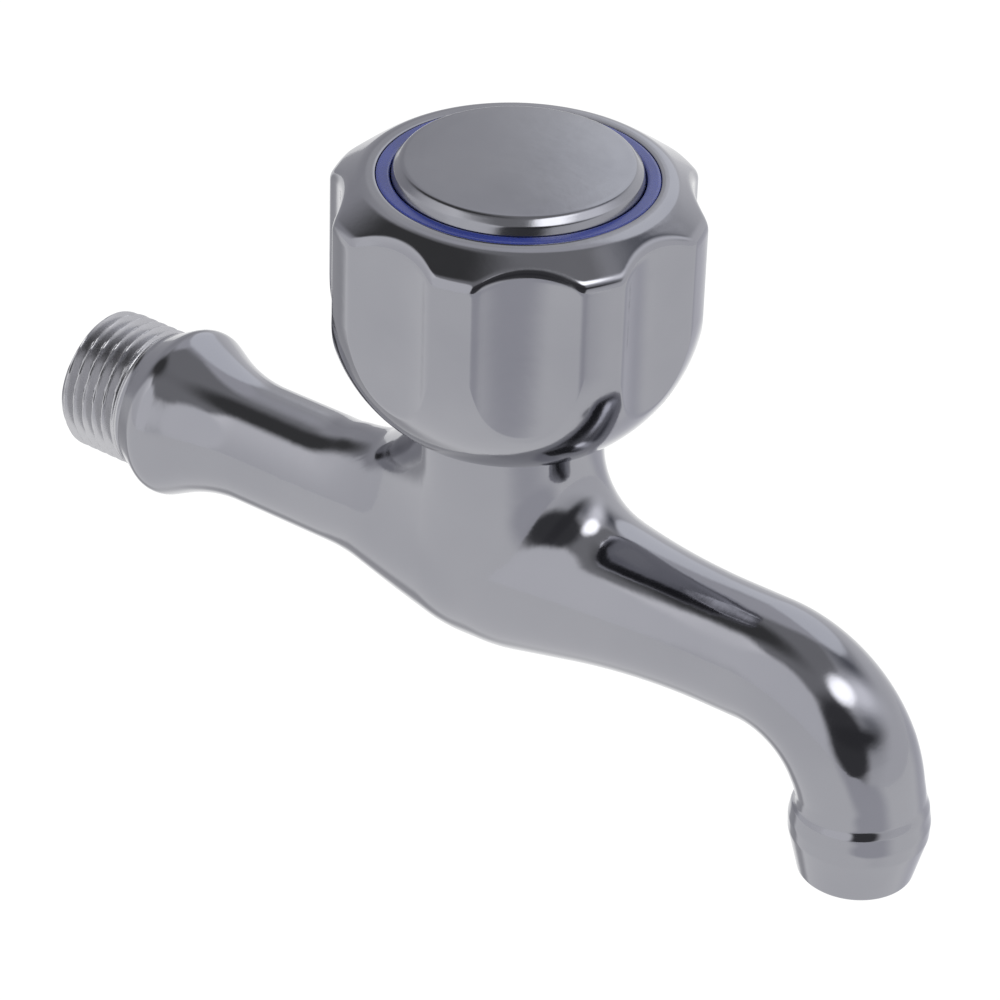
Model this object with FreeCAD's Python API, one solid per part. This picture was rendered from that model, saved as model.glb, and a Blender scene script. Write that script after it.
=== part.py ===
import FreeCAD, Part
import math
import os

# Wall-mounted tap with a long straight body, a down-turned spout and a fluted hand wheel.
# The inlet thread's axis is X, the spout points to +X, the spindle's axis is parallel to Z.
# The origin is where the inlet thread ends and the body begins. Sizes are in millimetres.

Vector = FreeCAD.Vector
X_AXIS = Vector(1, 0, 0)
Y_AXIS = Vector(0, 1, 0)
Z_AXIS = Vector(0, 0, 1)

# Inlet thread, a standard half-inch pipe thread, as a plain cylinder at its major radius
thread_r = 10.4775
thread_length = 11.2
thread_chamfer = 0.9

# Outside of the body: collar, arm and valve chamber, with the spindle's place along it
spindle_x = 63.0
collar_rise = 2.38
collar_start_x = 0.3
collar_crest_x = 5.0
arm_r = 8.8
arm_wall = 2.8
arm_start_x = 13.6
arm_taper_start = 24.0
chamber_back_length = 3.7
chamber_front_length = 4.8
collar_round = 3.0
arm_start_round = 24.0
arm_end_round = 30.0
chamber_back_round = 25.0
chamber_front_round = 25.0

# Spout: straight run, quarter bend and hose nose
spout_r = 8.82
spout_taper_end = 26.6
spout_taper_round = 110.0
spout_reach = 44.7
bend_radius = 15.5
nose_neck_r = 8.85
nose_wall = 2.75

# Hose nose, as depths below the end of the bend
nose_neck_depth = 0.4
bead_r = 9.65
bead_top_depth = 1.3
bead_low_depth = 3.6
nose_tip_r = 7.95
nose_taper_depth = 9.9
nose_length = 10.6
nose_lip = 0.7
nose_neck_round = 1.0
bead_top_round = 1.2
bead_low_round = 2.0
nose_tip_round = 1.0

# Neck that holds the headwork
headwork_thread_r = 10.4775
fit_gap = 0.05
neck_wall = 2.3
neck_step = 0.05
neck_top_z = 22.0
neck_blend = 9.5
neck_bore_depth = 10.0

# Water way round the valve seat
seat_z = 3.0
seat_bore_r = 6.0
seat_lip_width = 1.4
seat_lip_height = 1.5
chamber_bore_step = 1.33
pocket_depth = 12.0
passage_r = 4.6
inlet_bore_end = 22.0
inlet_drop = 5.8
inlet_dip_end = 5.0
outlet_bore_start = 22.0
outlet_rise = 6.2
outlet_rise_start = 6.0

# Headwork
hex_step = 0.52
hex_height = 6.0
body_washer_thick = 0.8
body_washer_inset = 0.3
bonnet_skirt_wall = 1.58
bonnet_skirt_depth = 3.4
bonnet_end_gap = 0.6
bonnet_top_wall = 2.1
bonnet_top_length = 8.4
shelf_thick = 1.4
gland_depth = 7.4
packing_width = 2.2
packing_washer_thick = 0.8
packing_thick = 3.4
follower_thick = 1.0
gland_hex_step = 1.25
gland_hex_height = 3.0

# Spindle and valve
valve_lift = 5.0
lift_stop_gap = 0.4
spindle_thread_r = 5.4
spindle_r = 4.0
spline_gap = 0.8
spline_length = 10.4
spline_teeth = 18
spline_depth = 0.45
spindle_end_chamfer = 0.6
plate_gap = 0.8
jumper_washer_thick = 3.0
jumper_washer_inset = 0.2
jumper_plate_thick = 2.0
jumper_stem_r = 2.9
jumper_stem_length = 12.0
jumper_socket_spare = 1.0
jumper_stud_r = 1.6
jumper_stud_spare = 0.5
washer_nut_flats = 6.5
washer_nut_thick = 2.2

# Hand wheel
wheel_r = 25.8
wheel_gap = 1.8
wheel_mouth_gap = 2.2
wheel_wall = 2.2
wheel_cone_drop = 3.3
wheel_cone_width = 5.6
bowl_radius = 22.5
bowl_height = 18.8
flute_count = 8
flute_cutter_r = 16.9
flute_depth = 2.4
flute_turn_deg = -4.8
flute_edge_round = 1.1
deck_thick = 2.0
well_depth = 4.3
boss_wall = 2.1
boss_length = 7.4

# Splined insert, screw and washer
insert_r = 7.5
insert_gap = 1.4
insert_web_thick = 1.6
insert_flange_width = 1.5
insert_flange_thick = 1.6
screw_r = 2.0
screw_length = 10.0
screw_hole_spare = 1.5
screw_head_r = 3.9
screw_head_height = 2.6
screw_slot_width = 1.0
screw_slot_depth = 1.3
screw_washer_r = 4.6
screw_washer_thick = 0.8
screw_access_gap = 0.8

# Indicator ring and cap
ring_outer_r = 18.9
ring_width = 1.9
cap_gap = 0.1
cap_side_lean = 0.6
cap_side_hollow = 0.3
cap_rise = 2.15
cap_dome = 0.5
cap_wall = 3.5
cap_top_thick = 1.5
cap_edge_round = 0.35

# How far a cutting form runs past the surface it opens
cut_spare = 1.0

# Radii worked out from the sizes above
collar_r = thread_r + collar_rise
inlet_bore_r = arm_r - arm_wall
outlet_bore_r = nose_tip_r - nose_wall
neck_bore_r = headwork_thread_r + fit_gap
neck_r = neck_bore_r + neck_wall
chamber_r = neck_r + neck_step
chamber_bore_r = neck_bore_r - chamber_bore_step
seat_lip_r = seat_bore_r + seat_lip_width
hex_flats = 2 * (headwork_thread_r + hex_step)
bonnet_skirt_r = headwork_thread_r - bonnet_skirt_wall
stem_hole_r = spindle_r + fit_gap
packing_r = stem_hole_r + packing_width
bonnet_top_r = packing_r + fit_gap + bonnet_top_wall
gland_flats = 2 * (packing_r + gland_hex_step)
jumper_plate_r = chamber_bore_r - plate_gap
jumper_washer_r = jumper_plate_r - jumper_washer_inset
wheel_bore_r = wheel_r - flute_depth - wheel_wall
wheel_mouth_r = neck_r + wheel_mouth_gap
wheel_flat_r = wheel_r - wheel_cone_width
ring_inner_r = ring_outer_r - ring_width
cap_base_r = ring_inner_r - cap_gap
cap_edge_r = cap_base_r - cap_side_lean
cap_hollow_r = cap_base_r - cap_wall

# Heights worked out from the sizes above
bend_end_z = -bend_radius
nose_end_z = bend_end_z - nose_length
neck_bore_low_z = neck_top_z - neck_bore_depth
chamber_floor_z = seat_z - seat_lip_height
bonnet_low_z = neck_bore_low_z + bonnet_end_gap
hex_low_z = neck_top_z + body_washer_thick
hex_top_z = hex_low_z + hex_height
bonnet_top_z = hex_top_z + bonnet_top_length
shelf_top_z = bonnet_top_z - gland_depth
shelf_low_z = shelf_top_z - shelf_thick
packing_low_z = shelf_top_z + packing_washer_thick
packing_top_z = packing_low_z + packing_thick
follower_top_z = packing_top_z + follower_thick
gland_top_z = bonnet_top_z + gland_hex_height
plate_low_z = seat_z + jumper_washer_thick
plate_top_z = plate_low_z + jumper_plate_thick
spindle_thread_top_z = shelf_low_z - valve_lift - lift_stop_gap
spline_low_z = gland_top_z + spline_gap
spline_top_z = spline_low_z + spline_length
insert_low_z = gland_top_z + insert_gap
insert_top_z = spline_top_z + insert_web_thick
well_floor_z = insert_top_z + deck_thick
boss_low_z = insert_top_z - boss_length
wheel_low_z = neck_top_z + wheel_gap
wheel_top_z = well_floor_z + well_depth
wheel_edge_z = wheel_top_z - wheel_cone_drop
bowl_tangent_z = wheel_low_z + bowl_height
washer_top_z = insert_top_z + screw_washer_thick
screw_tip_z = washer_top_z - screw_length
cap_edge_z = wheel_top_z + cap_rise
cap_hollow_top_z = cap_edge_z - cap_top_thick

# Places along the body worked out from the sizes above
spout_end_x = spindle_x + spout_reach
nose_x = spout_end_x + bend_radius
inlet_bore_end_x = spindle_x - inlet_bore_end
outlet_bore_start_x = spindle_x + outlet_bore_start


def axis_point(height):
    """A point on the spindle's axis."""
    return Vector(spindle_x, 0, height)


def upright(radius, low, high):
    """A cylinder about the spindle's axis."""
    return Part.makeCylinder(radius, high - low, axis_point(low))


def flat_ring(inner, outer, low, high):
    """A ring about the spindle's axis."""
    return upright(outer, low, high).cut(upright(inner, low, high))


def hexagon(flats, low, high):
    """A hexagonal prism about the spindle's axis."""
    corner = flats / math.sqrt(3)
    points = []
    for index in range(7):
        turn = math.radians(60 * index)
        points.append(Vector(spindle_x + corner * math.cos(turn), corner * math.sin(turn), low))
    return Part.Face(Part.makePolygon(points)).extrude(Vector(0, 0, high - low))


def turned_hexagon(flats, low, high):
    """A hexagon whose top corners are turned down at 30 degrees."""
    corner = flats / math.sqrt(3)
    prism = hexagon(flats, low, high)
    drop = (corner - flats / 2) * math.tan(math.radians(30))
    cone = Part.makeCone(corner, flats / 2, drop, axis_point(high - drop))
    return prism.common(cone.fuse(upright(corner, low, high - drop)))


def splines(radius, low, high):
    """A toothed bar about the spindle's axis, as long as it is high."""
    points = []
    steps = 2 * spline_teeth
    for index in range(steps + 1):
        turn = 2 * math.pi * index / steps
        reach = radius - spline_depth * (index % 2)
        points.append(Vector(spindle_x + reach * math.cos(turn), reach * math.sin(turn), low))
    return Part.Face(Part.makePolygon(points)).extrude(Vector(0, 0, high - low))


def rounded_path(corners):
    """Edges through corners of (first, second, rounding), in the XZ plane."""
    points = [Vector(corner[0], 0, corner[1]) for corner in corners]
    edges = []
    last = points[0]
    for index in range(1, len(points) - 1):
        back = (points[index - 1] - points[index]).normalize()
        ahead = (points[index + 1] - points[index]).normalize()
        radius = corners[index][2]
        angle = back.getAngle(ahead)
        if radius == 0:
            edges.append(Part.makeLine(last, points[index]))
            last = points[index]
            continue
        tangent = radius / math.tan(angle / 2)
        middle = (back + ahead).normalize() * (radius / math.sin(angle / 2) - radius)
        start = points[index] + back * tangent
        end = points[index] + ahead * tangent
        if (start - last).Length > 1e-6:
            edges.append(Part.makeLine(last, start))
        edges.append(Part.Arc(start, points[index] + middle, end).toShape())
        last = end
    edges.append(Part.makeLine(last, points[-1]))
    return edges


def turned(edges, point, axis):
    """A full turn of a closed outline about an axis."""
    return Part.Face(Part.Wire(edges)).revolve(point, axis, 360)


def tube_between(start, end, radius):
    """A round passage from one point to another, with round ends."""
    run = end - start
    bar = Part.makeCylinder(radius, run.Length, start, run)
    return bar.fuse([Part.makeSphere(radius, start), Part.makeSphere(radius, end)])


def bend_bore():
    """Round passage through the spout's bend, of one radius all the way."""
    circle = Part.makeCircle(outlet_bore_r, Vector(spout_end_x, 0, 0), X_AXIS)
    pivot = Vector(spout_end_x, 0, bend_end_z)
    return Part.Face(Part.Wire([circle])).revolve(pivot, Y_AXIS, 90)


def quarter_bend(start_r, end_r):
    """The spout's bend, from its straight run down to the nose."""
    lean = bend_radius * math.sin(math.radians(45))
    middle = Vector(spout_end_x + lean, 0, bend_end_z + lean)
    arc = Part.Arc(Vector(spout_end_x, 0, 0), middle, Vector(nose_x, 0, bend_end_z))
    first = Part.makeCircle(start_r, Vector(spout_end_x, 0, 0), X_AXIS)
    second = Part.makeCircle(end_r, Vector(nose_x, 0, bend_end_z), Vector(0, 0, -1))
    sweep = Part.BRepOffsetAPI.MakePipeShell(Part.Wire([arc.toShape()]))
    sweep.add(Part.Wire([first]), False, False)
    sweep.add(Part.Wire([second]), False, False)
    sweep.build()
    sweep.makeSolid()
    return sweep.shape()


def body_barrel():
    """Thread, collar, arm, chamber and straight spout, turned about the inlet's axis."""
    corners = [
        (-thread_length, 0, 0),
        (-thread_length, thread_r - thread_chamfer, 0),
        (-thread_length + thread_chamfer, thread_r, 0),
        (collar_start_x, thread_r, 0),
        (collar_crest_x, collar_r, collar_round),
        (arm_start_x, arm_r, arm_start_round),
        (spindle_x - arm_taper_start, arm_r, arm_end_round),
        (spindle_x - chamber_back_length, chamber_r, chamber_back_round),
        (spindle_x + chamber_front_length, chamber_r, chamber_front_round),
        (spindle_x + spout_taper_end, spout_r, spout_taper_round),
        (spout_end_x, spout_r, 0),
        (spout_end_x, 0, 0),
    ]
    below = [(x, -r, rounding) for x, r, rounding in corners]
    edges = rounded_path(below)
    edges.append(Part.makeLine(Vector(spout_end_x, 0, 0), Vector(-thread_length, 0, 0)))
    return turned(edges, Vector(0, 0, 0), X_AXIS)


def blended_neck(barrel):
    """The neck stands on the barrel, with a hollow blend round its foot."""
    joined = barrel.fuse(upright(neck_r, 0, neck_top_z))
    foot = []
    for face in joined.Faces:
        if not isinstance(face.Surface, Part.Cylinder):
            continue
        if abs(face.Surface.Axis.z) < 0.999:
            continue
        foot += [edge for edge in face.Edges if edge.BoundBox.ZMax < neck_top_z - 0.1]
    return joined.makeFillet(neck_blend, foot)


def hose_nose():
    """Neck, bead, taper and rounded lip, turned about the outlet's axis."""
    corners = [
        (0, bend_end_z, 0),
        (nose_neck_r, bend_end_z, 0),
        (nose_neck_r, bend_end_z - nose_neck_depth, nose_neck_round),
        (bead_r, bend_end_z - bead_top_depth, bead_top_round),
        (bead_r, bend_end_z - bead_low_depth, bead_low_round),
        (nose_tip_r, bend_end_z - nose_taper_depth, nose_tip_round),
        (nose_tip_r - nose_lip, nose_end_z, 0),
        (0, nose_end_z, 0),
    ]
    edges = rounded_path(corners)
    edges.append(Part.makeLine(Vector(0, 0, nose_end_z), Vector(0, 0, bend_end_z)))
    nose = turned(edges, Vector(0, 0, 0), Z_AXIS)
    nose.translate(Vector(nose_x, 0, 0))
    return nose


def water_way():
    """Bores and chambers that the water runs through, from the inlet to the nose."""
    inlet_end = Vector(inlet_bore_end_x, 0, 0)
    outlet_start = Vector(outlet_bore_start_x, 0, 0)
    under_seat = Vector(spindle_x - inlet_dip_end, 0, -inlet_drop)
    above_seat = Vector(spindle_x + outlet_rise_start, 0, outlet_rise)
    inlet_length = thread_length + inlet_bore_end_x
    inlet = Part.makeCylinder(inlet_bore_r, inlet_length, Vector(-thread_length, 0, 0), X_AXIS)
    dip = tube_between(inlet_end, under_seat, passage_r)
    pocket = upright(seat_bore_r, seat_z - pocket_depth, seat_z)
    seat = upright(seat_lip_r, seat_z - pocket_depth, seat_z)
    chamber = upright(chamber_bore_r, chamber_floor_z, neck_bore_low_z).cut(seat)
    mouth = upright(neck_bore_r, neck_bore_low_z, neck_top_z)
    rise = tube_between(above_seat, outlet_start, passage_r).cut(seat)
    run = Part.makeCylinder(outlet_bore_r, spout_end_x - outlet_bore_start_x, outlet_start, X_AXIS)
    bend = bend_bore()
    drop = Part.makeCylinder(outlet_bore_r, nose_length, Vector(nose_x, 0, nose_end_z), Z_AXIS)
    return [inlet, dip, pocket, chamber, mouth, rise, run, bend, drop]


def tap_body():
    """The casting: one brass piece from the inlet thread to the nose."""
    solid = blended_neck(body_barrel())
    solid = solid.fuse([quarter_bend(spout_r, nose_neck_r), hose_nose()])
    for hollow in water_way():
        solid = solid.cut(hollow)
    return solid


def body_washer():
    """Sealing washer between the neck and the headwork's hexagon."""
    return flat_ring(neck_bore_r, neck_r - body_washer_inset, neck_top_z, hex_low_z)


def bonnet():
    """Headwork body: threaded barrel, hexagon and stuffing box in one piece."""
    outside = upright(headwork_thread_r, bonnet_low_z, hex_low_z)
    outside = outside.fuse([
        turned_hexagon(hex_flats, hex_low_z, hex_top_z),
        upright(bonnet_top_r, hex_low_z, bonnet_top_z),
    ])
    skirt_top = bonnet_low_z + bonnet_skirt_depth
    inside = [
        upright(bonnet_skirt_r, bonnet_low_z, skirt_top),
        upright(spindle_thread_r + fit_gap, bonnet_low_z, shelf_low_z),
        upright(stem_hole_r, bonnet_low_z, bonnet_top_z),
        upright(packing_r + fit_gap, shelf_top_z, bonnet_top_z),
    ]
    return outside.cut(inside)


def packing_washer():
    """Brass washer on the shelf of the stuffing box."""
    return flat_ring(stem_hole_r, packing_r, shelf_top_z, packing_low_z)


def gland_packing():
    """Soft ring that seals on the spindle."""
    return flat_ring(stem_hole_r, packing_r, packing_low_z, packing_top_z)


def gland_follower():
    """Brass ring that presses the packing."""
    return flat_ring(stem_hole_r, packing_r, packing_top_z, follower_top_z)


def gland_nut():
    """Hexagon nut whose shank screws into the stuffing box."""
    shank = upright(packing_r, follower_top_z, bonnet_top_z)
    head = turned_hexagon(gland_flats, bonnet_top_z, gland_top_z)
    return shank.fuse(head).cut(upright(stem_hole_r, follower_top_z, gland_top_z))


def spindle():
    """Rising spindle: screwed foot with a socket, plain shank and splined end."""
    foot = upright(spindle_thread_r, plate_top_z, spindle_thread_top_z)
    shank = upright(spindle_r, plate_top_z, spline_low_z)
    slope_low_z = spline_top_z - spindle_end_chamfer
    slope_top_r = spindle_r - spindle_end_chamfer
    slope = Part.makeCone(spindle_r, slope_top_r, spindle_end_chamfer, axis_point(slope_low_z))
    end = slope.fuse(upright(spindle_r, spline_low_z, slope_low_z))
    teeth = splines(spindle_r, spline_low_z, spline_top_z).common(end)
    socket_top = plate_top_z + jumper_stem_length + jumper_socket_spare
    tapped_low = screw_tip_z - screw_hole_spare
    solid = foot.fuse([shank, teeth])
    return solid.cut([
        upright(jumper_stem_r + fit_gap, plate_top_z, socket_top),
        upright(screw_r + fit_gap, tapped_low, spline_top_z),
    ])


def jumper_valve():
    """Jumper: stem in the spindle's socket, plate and stud for the washer."""
    stud_low = seat_z - washer_nut_thick - jumper_stud_spare
    stem_top = plate_top_z + jumper_stem_length
    stem = upright(jumper_stem_r, plate_top_z, stem_top)
    return stem.fuse([
        upright(jumper_plate_r, plate_low_z, plate_top_z),
        upright(jumper_stud_r, stud_low, plate_low_z),
    ])


def jumper_washer():
    """Rubber washer that closes on the seat."""
    return flat_ring(jumper_stud_r + fit_gap, jumper_washer_r, seat_z, plate_low_z)


def washer_nut():
    """Nut that holds the washer on the jumper."""
    low = seat_z - washer_nut_thick
    return hexagon(washer_nut_flats, low, seat_z).cut(upright(jumper_stud_r + fit_gap, low, seat_z))


def wheel_outside():
    """Solid outer form of the hand wheel: bowl, skirt and coned top, before fluting."""
    centre_r = wheel_r - bowl_radius
    low_angle = math.asin((wheel_low_z - bowl_tangent_z) / bowl_radius)
    low_r = centre_r + bowl_radius * math.cos(low_angle)
    middle_r = centre_r + bowl_radius * math.cos(low_angle / 2)
    middle_z = bowl_tangent_z + bowl_radius * math.sin(low_angle / 2)
    low = Vector(low_r, 0, wheel_low_z)
    tangent = Vector(wheel_r, 0, bowl_tangent_z)
    edge = Vector(wheel_r, 0, wheel_edge_z)
    flat = Vector(wheel_flat_r, 0, wheel_top_z)
    top = Vector(0, 0, wheel_top_z)
    foot = Vector(0, 0, wheel_low_z)
    edges = [
        Part.makeLine(foot, low),
        Part.Arc(low, Vector(middle_r, 0, middle_z), tangent).toShape(),
        Part.makeLine(tangent, edge),
        Part.makeLine(edge, flat),
        Part.makeLine(flat, top),
        Part.makeLine(top, foot),
    ]
    return turned(edges, Vector(0, 0, 0), Z_AXIS)


def fluted_wheel():
    """The outer form with its flutes, every fluted edge rounded."""
    reach = wheel_r - flute_depth + flute_cutter_r
    cutters = []
    for index in range(flute_count):
        turn = math.radians(flute_turn_deg + 360 * index / flute_count)
        foot = Vector(reach * math.cos(turn), reach * math.sin(turn), wheel_low_z - cut_spare)
        length = wheel_top_z + cut_spare - foot.z
        cutters.append(Part.makeCylinder(flute_cutter_r, length, foot))
    solid = wheel_outside().cut(cutters)
    sharp = []
    for edge in solid.Edges:
        box = edge.BoundBox
        level = box.ZMax - box.ZMin < 0.001
        smooth = level and (box.ZMax < bowl_tangent_z + 0.001 or box.ZMax > wheel_top_z - 0.001)
        if len(solid.ancestorsOfType(edge, Part.Face)) == 2 and not smooth:
            sharp.append(edge)
    solid = solid.makeFillet(flute_edge_round, sharp)
    solid.translate(axis_point(0))
    return solid


def wheel_hollow():
    """Open inside of the hand wheel, below its deck."""
    centre_r = wheel_r - bowl_radius
    inner_radius = bowl_radius - wheel_wall
    wide_z = bowl_tangent_z - math.sqrt(inner_radius ** 2 - (wheel_bore_r - centre_r) ** 2)
    mouth_z = bowl_tangent_z - math.sqrt(inner_radius ** 2 - (wheel_mouth_r - centre_r) ** 2)
    middle_angle = (math.asin((wide_z - bowl_tangent_z) / inner_radius)
                    + math.asin((mouth_z - bowl_tangent_z) / inner_radius)) / 2
    middle_r = centre_r + inner_radius * math.cos(middle_angle)
    middle_z = bowl_tangent_z + inner_radius * math.sin(middle_angle)
    mouth = Vector(wheel_mouth_r, 0, mouth_z)
    wide = Vector(wheel_bore_r, 0, wide_z)
    deck = Vector(wheel_bore_r, 0, insert_top_z)
    foot = Vector(wheel_mouth_r, 0, wheel_low_z - cut_spare)
    edges = [
        Part.makeLine(Vector(0, 0, foot.z), foot),
        Part.makeLine(foot, mouth),
        Part.Arc(mouth, Vector(middle_r, 0, middle_z), wide).toShape(),
        Part.makeLine(wide, deck),
        Part.makeLine(deck, Vector(0, 0, insert_top_z)),
        Part.makeLine(Vector(0, 0, insert_top_z), Vector(0, 0, foot.z)),
    ]
    hollow = turned(edges, Vector(0, 0, 0), Z_AXIS)
    hollow.translate(axis_point(0))
    return hollow


def wheel_shell():
    """Hand wheel: fluted shell with a deck, a well for the cap and a boss for the insert."""
    shell = fluted_wheel().cut(wheel_hollow())
    shell = shell.fuse(upright(insert_r + boss_wall, boss_low_z, well_floor_z))
    return shell.cut([
        upright(ring_outer_r + fit_gap, well_floor_z, wheel_top_z + cut_spare),
        upright(insert_r + fit_gap, boss_low_z, insert_top_z),
        upright(screw_washer_r + screw_access_gap, boss_low_z, wheel_top_z),
    ])


def wheel_insert():
    """Splined hub pressed into the wheel's boss."""
    hub = upright(insert_r, insert_low_z, insert_top_z)
    flange = upright(insert_r + insert_flange_width, boss_low_z - insert_flange_thick, boss_low_z)
    return hub.fuse(flange).cut([
        splines(spindle_r + fit_gap, insert_low_z, spline_top_z),
        upright(screw_r + fit_gap, insert_low_z, insert_top_z),
    ])


def screw_washer():
    """Washer under the screw's head."""
    return flat_ring(screw_r + fit_gap, screw_washer_r, insert_top_z, washer_top_z)


def wheel_screw():
    """Slotted screw that holds the wheel on the spindle."""
    head_top = washer_top_z + screw_head_height
    head = upright(screw_head_r, washer_top_z, head_top)
    corner = Vector(spindle_x - screw_head_r, -screw_slot_width / 2, head_top - screw_slot_depth)
    slot = Part.makeBox(2 * screw_head_r, screw_slot_width, screw_slot_depth, corner)
    return head.fuse(upright(screw_r, screw_tip_z, washer_top_z)).cut(slot)


def indicator_ring():
    """Coloured ring between the wheel and its cap."""
    return flat_ring(ring_inner_r, ring_outer_r, well_floor_z, wheel_top_z)


def wheel_cap():
    """Raised cap with a hollow-flared side and a slightly domed top."""
    base = Vector(cap_base_r, 0, wheel_top_z)
    edge = Vector(cap_edge_r, 0, cap_edge_z)
    chord = edge - base
    inward = Vector(-chord.z, 0, chord.x).normalize() * cap_side_hollow
    crown = Vector(0, 0, cap_edge_z + cap_dome)
    dome_radius = (cap_edge_r ** 2 + cap_dome ** 2) / (2 * cap_dome)
    half_angle = math.asin(cap_edge_r / dome_radius) / 2
    half_drop = dome_radius * (1 - math.cos(half_angle))
    half = Vector(dome_radius * math.sin(half_angle), 0, crown.z - half_drop)
    foot = Vector(cap_base_r, 0, well_floor_z)
    edges = [
        Part.makeLine(Vector(0, 0, well_floor_z), foot),
        Part.makeLine(foot, base),
        Part.Arc(base, base + chord * 0.5 + inward, edge).toShape(),
        Part.Arc(edge, half, crown).toShape(),
        Part.makeLine(crown, Vector(0, 0, well_floor_z)),
    ]
    cap = turned(edges, Vector(0, 0, 0), Z_AXIS)
    cap.translate(axis_point(0))
    rim = [item for item in cap.Edges if abs(item.BoundBox.ZMax - cap_edge_z) < 0.001
           and item.BoundBox.ZMax - item.BoundBox.ZMin < 0.001]
    cap = cap.makeFillet(cap_edge_round, rim)
    return cap.cut(upright(cap_hollow_r, well_floor_z, cap_hollow_top_z))


nodes = {
    "tap_body": tap_body,
    "body_washer": body_washer,
    "bonnet": bonnet,
    "packing_washer": packing_washer,
    "gland_packing": gland_packing,
    "gland_follower": gland_follower,
    "gland_nut": gland_nut,
    "spindle": spindle,
    "jumper_valve": jumper_valve,
    "jumper_washer": jumper_washer,
    "washer_nut": washer_nut,
    "wheel_shell": wheel_shell,
    "wheel_insert": wheel_insert,
    "wheel_screw": wheel_screw,
    "screw_washer": screw_washer,
    "indicator_ring": indicator_ring,
    "wheel_cap": wheel_cap,
}

os.makedirs("parts", exist_ok=True)
for name, make in nodes.items():
    shape = make()
    print(name, len(shape.Solids), shape.isValid(), round(shape.Volume, 1))
    shape.exportStep("parts/" + name + ".step")
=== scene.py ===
import math

import bmesh
import bpy
import numpy as np
from mathutils import Matrix, Vector


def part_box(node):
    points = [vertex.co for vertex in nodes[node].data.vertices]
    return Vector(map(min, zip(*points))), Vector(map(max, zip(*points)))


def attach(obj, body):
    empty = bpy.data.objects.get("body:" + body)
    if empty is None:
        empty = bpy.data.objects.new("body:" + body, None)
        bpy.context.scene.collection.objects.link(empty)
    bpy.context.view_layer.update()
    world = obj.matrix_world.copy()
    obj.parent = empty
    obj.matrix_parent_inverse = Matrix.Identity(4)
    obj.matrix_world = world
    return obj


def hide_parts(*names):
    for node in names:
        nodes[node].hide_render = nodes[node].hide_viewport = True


# Chromed wall tap with a fluted hand wheel. Shapes are worked out in millimetres in the
# frame's own axes, and each mesh is scaled to metres when it is made.

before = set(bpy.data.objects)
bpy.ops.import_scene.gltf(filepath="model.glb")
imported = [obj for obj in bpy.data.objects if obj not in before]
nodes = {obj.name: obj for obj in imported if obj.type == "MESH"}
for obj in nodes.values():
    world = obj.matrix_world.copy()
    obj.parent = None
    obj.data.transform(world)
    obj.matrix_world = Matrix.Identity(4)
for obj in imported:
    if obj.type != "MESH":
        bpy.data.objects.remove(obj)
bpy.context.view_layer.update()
MM = 0.001


def box_mm(node):
    """Lowest and highest corner of a CAD node, in millimetres."""
    low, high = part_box(node)
    return low / MM, high / MM


# Places taken from the frame
body_low, body_high = box_mm("tap_body")
wheel_low, wheel_high = box_mm("wheel_shell")
ring_low, ring_high = box_mm("indicator_ring")
cap_low, cap_high = box_mm("wheel_cap")
_, insert_high = box_mm("wheel_insert")
spindle_x = (ring_low.x + ring_high.x) / 2
ring_r = (ring_high.x - ring_low.x) / 2
cap_r = (cap_high.x - cap_low.x) / 2
neck_top_z = body_high.z
nose_end_z = body_low.z
thread_start_x = body_low.x
wheel_low_z = wheel_low.z
wheel_top_z = wheel_high.z
well_floor_z = ring_low.z
deck_low_z = insert_high.z

# Inlet thread: half-inch pipe thread. The flanks are a softened sine, clipped to flat crests
# and roots, and the groove runs out into a short plain shank before the collar.
thread_r = 10.4775
thread_pitch = 1.8143
thread_depth = 1.162
thread_chamfer = 0.9
thread_runout = 1.1
thread_shank = 0.2
thread_sharpness = 0.96
thread_flats = 1.12

# Outside of the body. The hollow between neck and barrel is wider toward the arm. It widens
# between two directions round the neck, each given by its cosine to the arm's direction.
arm_r = 8.8
collar_r = thread_r + 2.5
chamber_r = 13.25
neck_r = 13.0
neck_blend = 11.2
neck_blend_arm = 20.0
neck_reach = neck_r + neck_blend_arm + 1.0
arm_side_start = -0.4
arm_side_end = 0.8
spout_r = 8.82
spout_rise = 0.8
rise_start_x = 43.0
rise_end_x = 71.0
nose_x = 123.2
bend_radius = 16.8
bend_swell = 0.12
pivot_z = spout_rise - bend_radius
nose_neck_r = 8.7
bead_r = 9.65
nose_tip_r = 7.95
nose_start_z = -8.0

# (place along the body, radius, rounding)
barrel_corners = [
    (0.0, thread_r, 0),
    (0.3, thread_r, 0),
    (5.0, collar_r, 3.0),
    (13.6, arm_r, 24.0),
    (39.0, arm_r, 30.0),
    (59.3, chamber_r, 25.0),
    (67.8, chamber_r, 25.0),
    (89.6, spout_r, 110.0),
    (nose_x - bend_radius, spout_r, 0),
]

# (radius, height, rounding)
nose_corners = [
    (spout_r, nose_start_z, 0),
    (nose_neck_r, -12.6, 6.0),
    (nose_neck_r + 0.16, -14.4, 1.2),
    (bead_r - 0.35, -15.3, 1.2),
    (bead_r, -17.3, 3.0),
    (bead_r - 0.08, -19.3, 2.5),
    (nose_tip_r, -25.8, 0.6),
    (nose_tip_r - 0.6, nose_end_z, 0),
]

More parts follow.
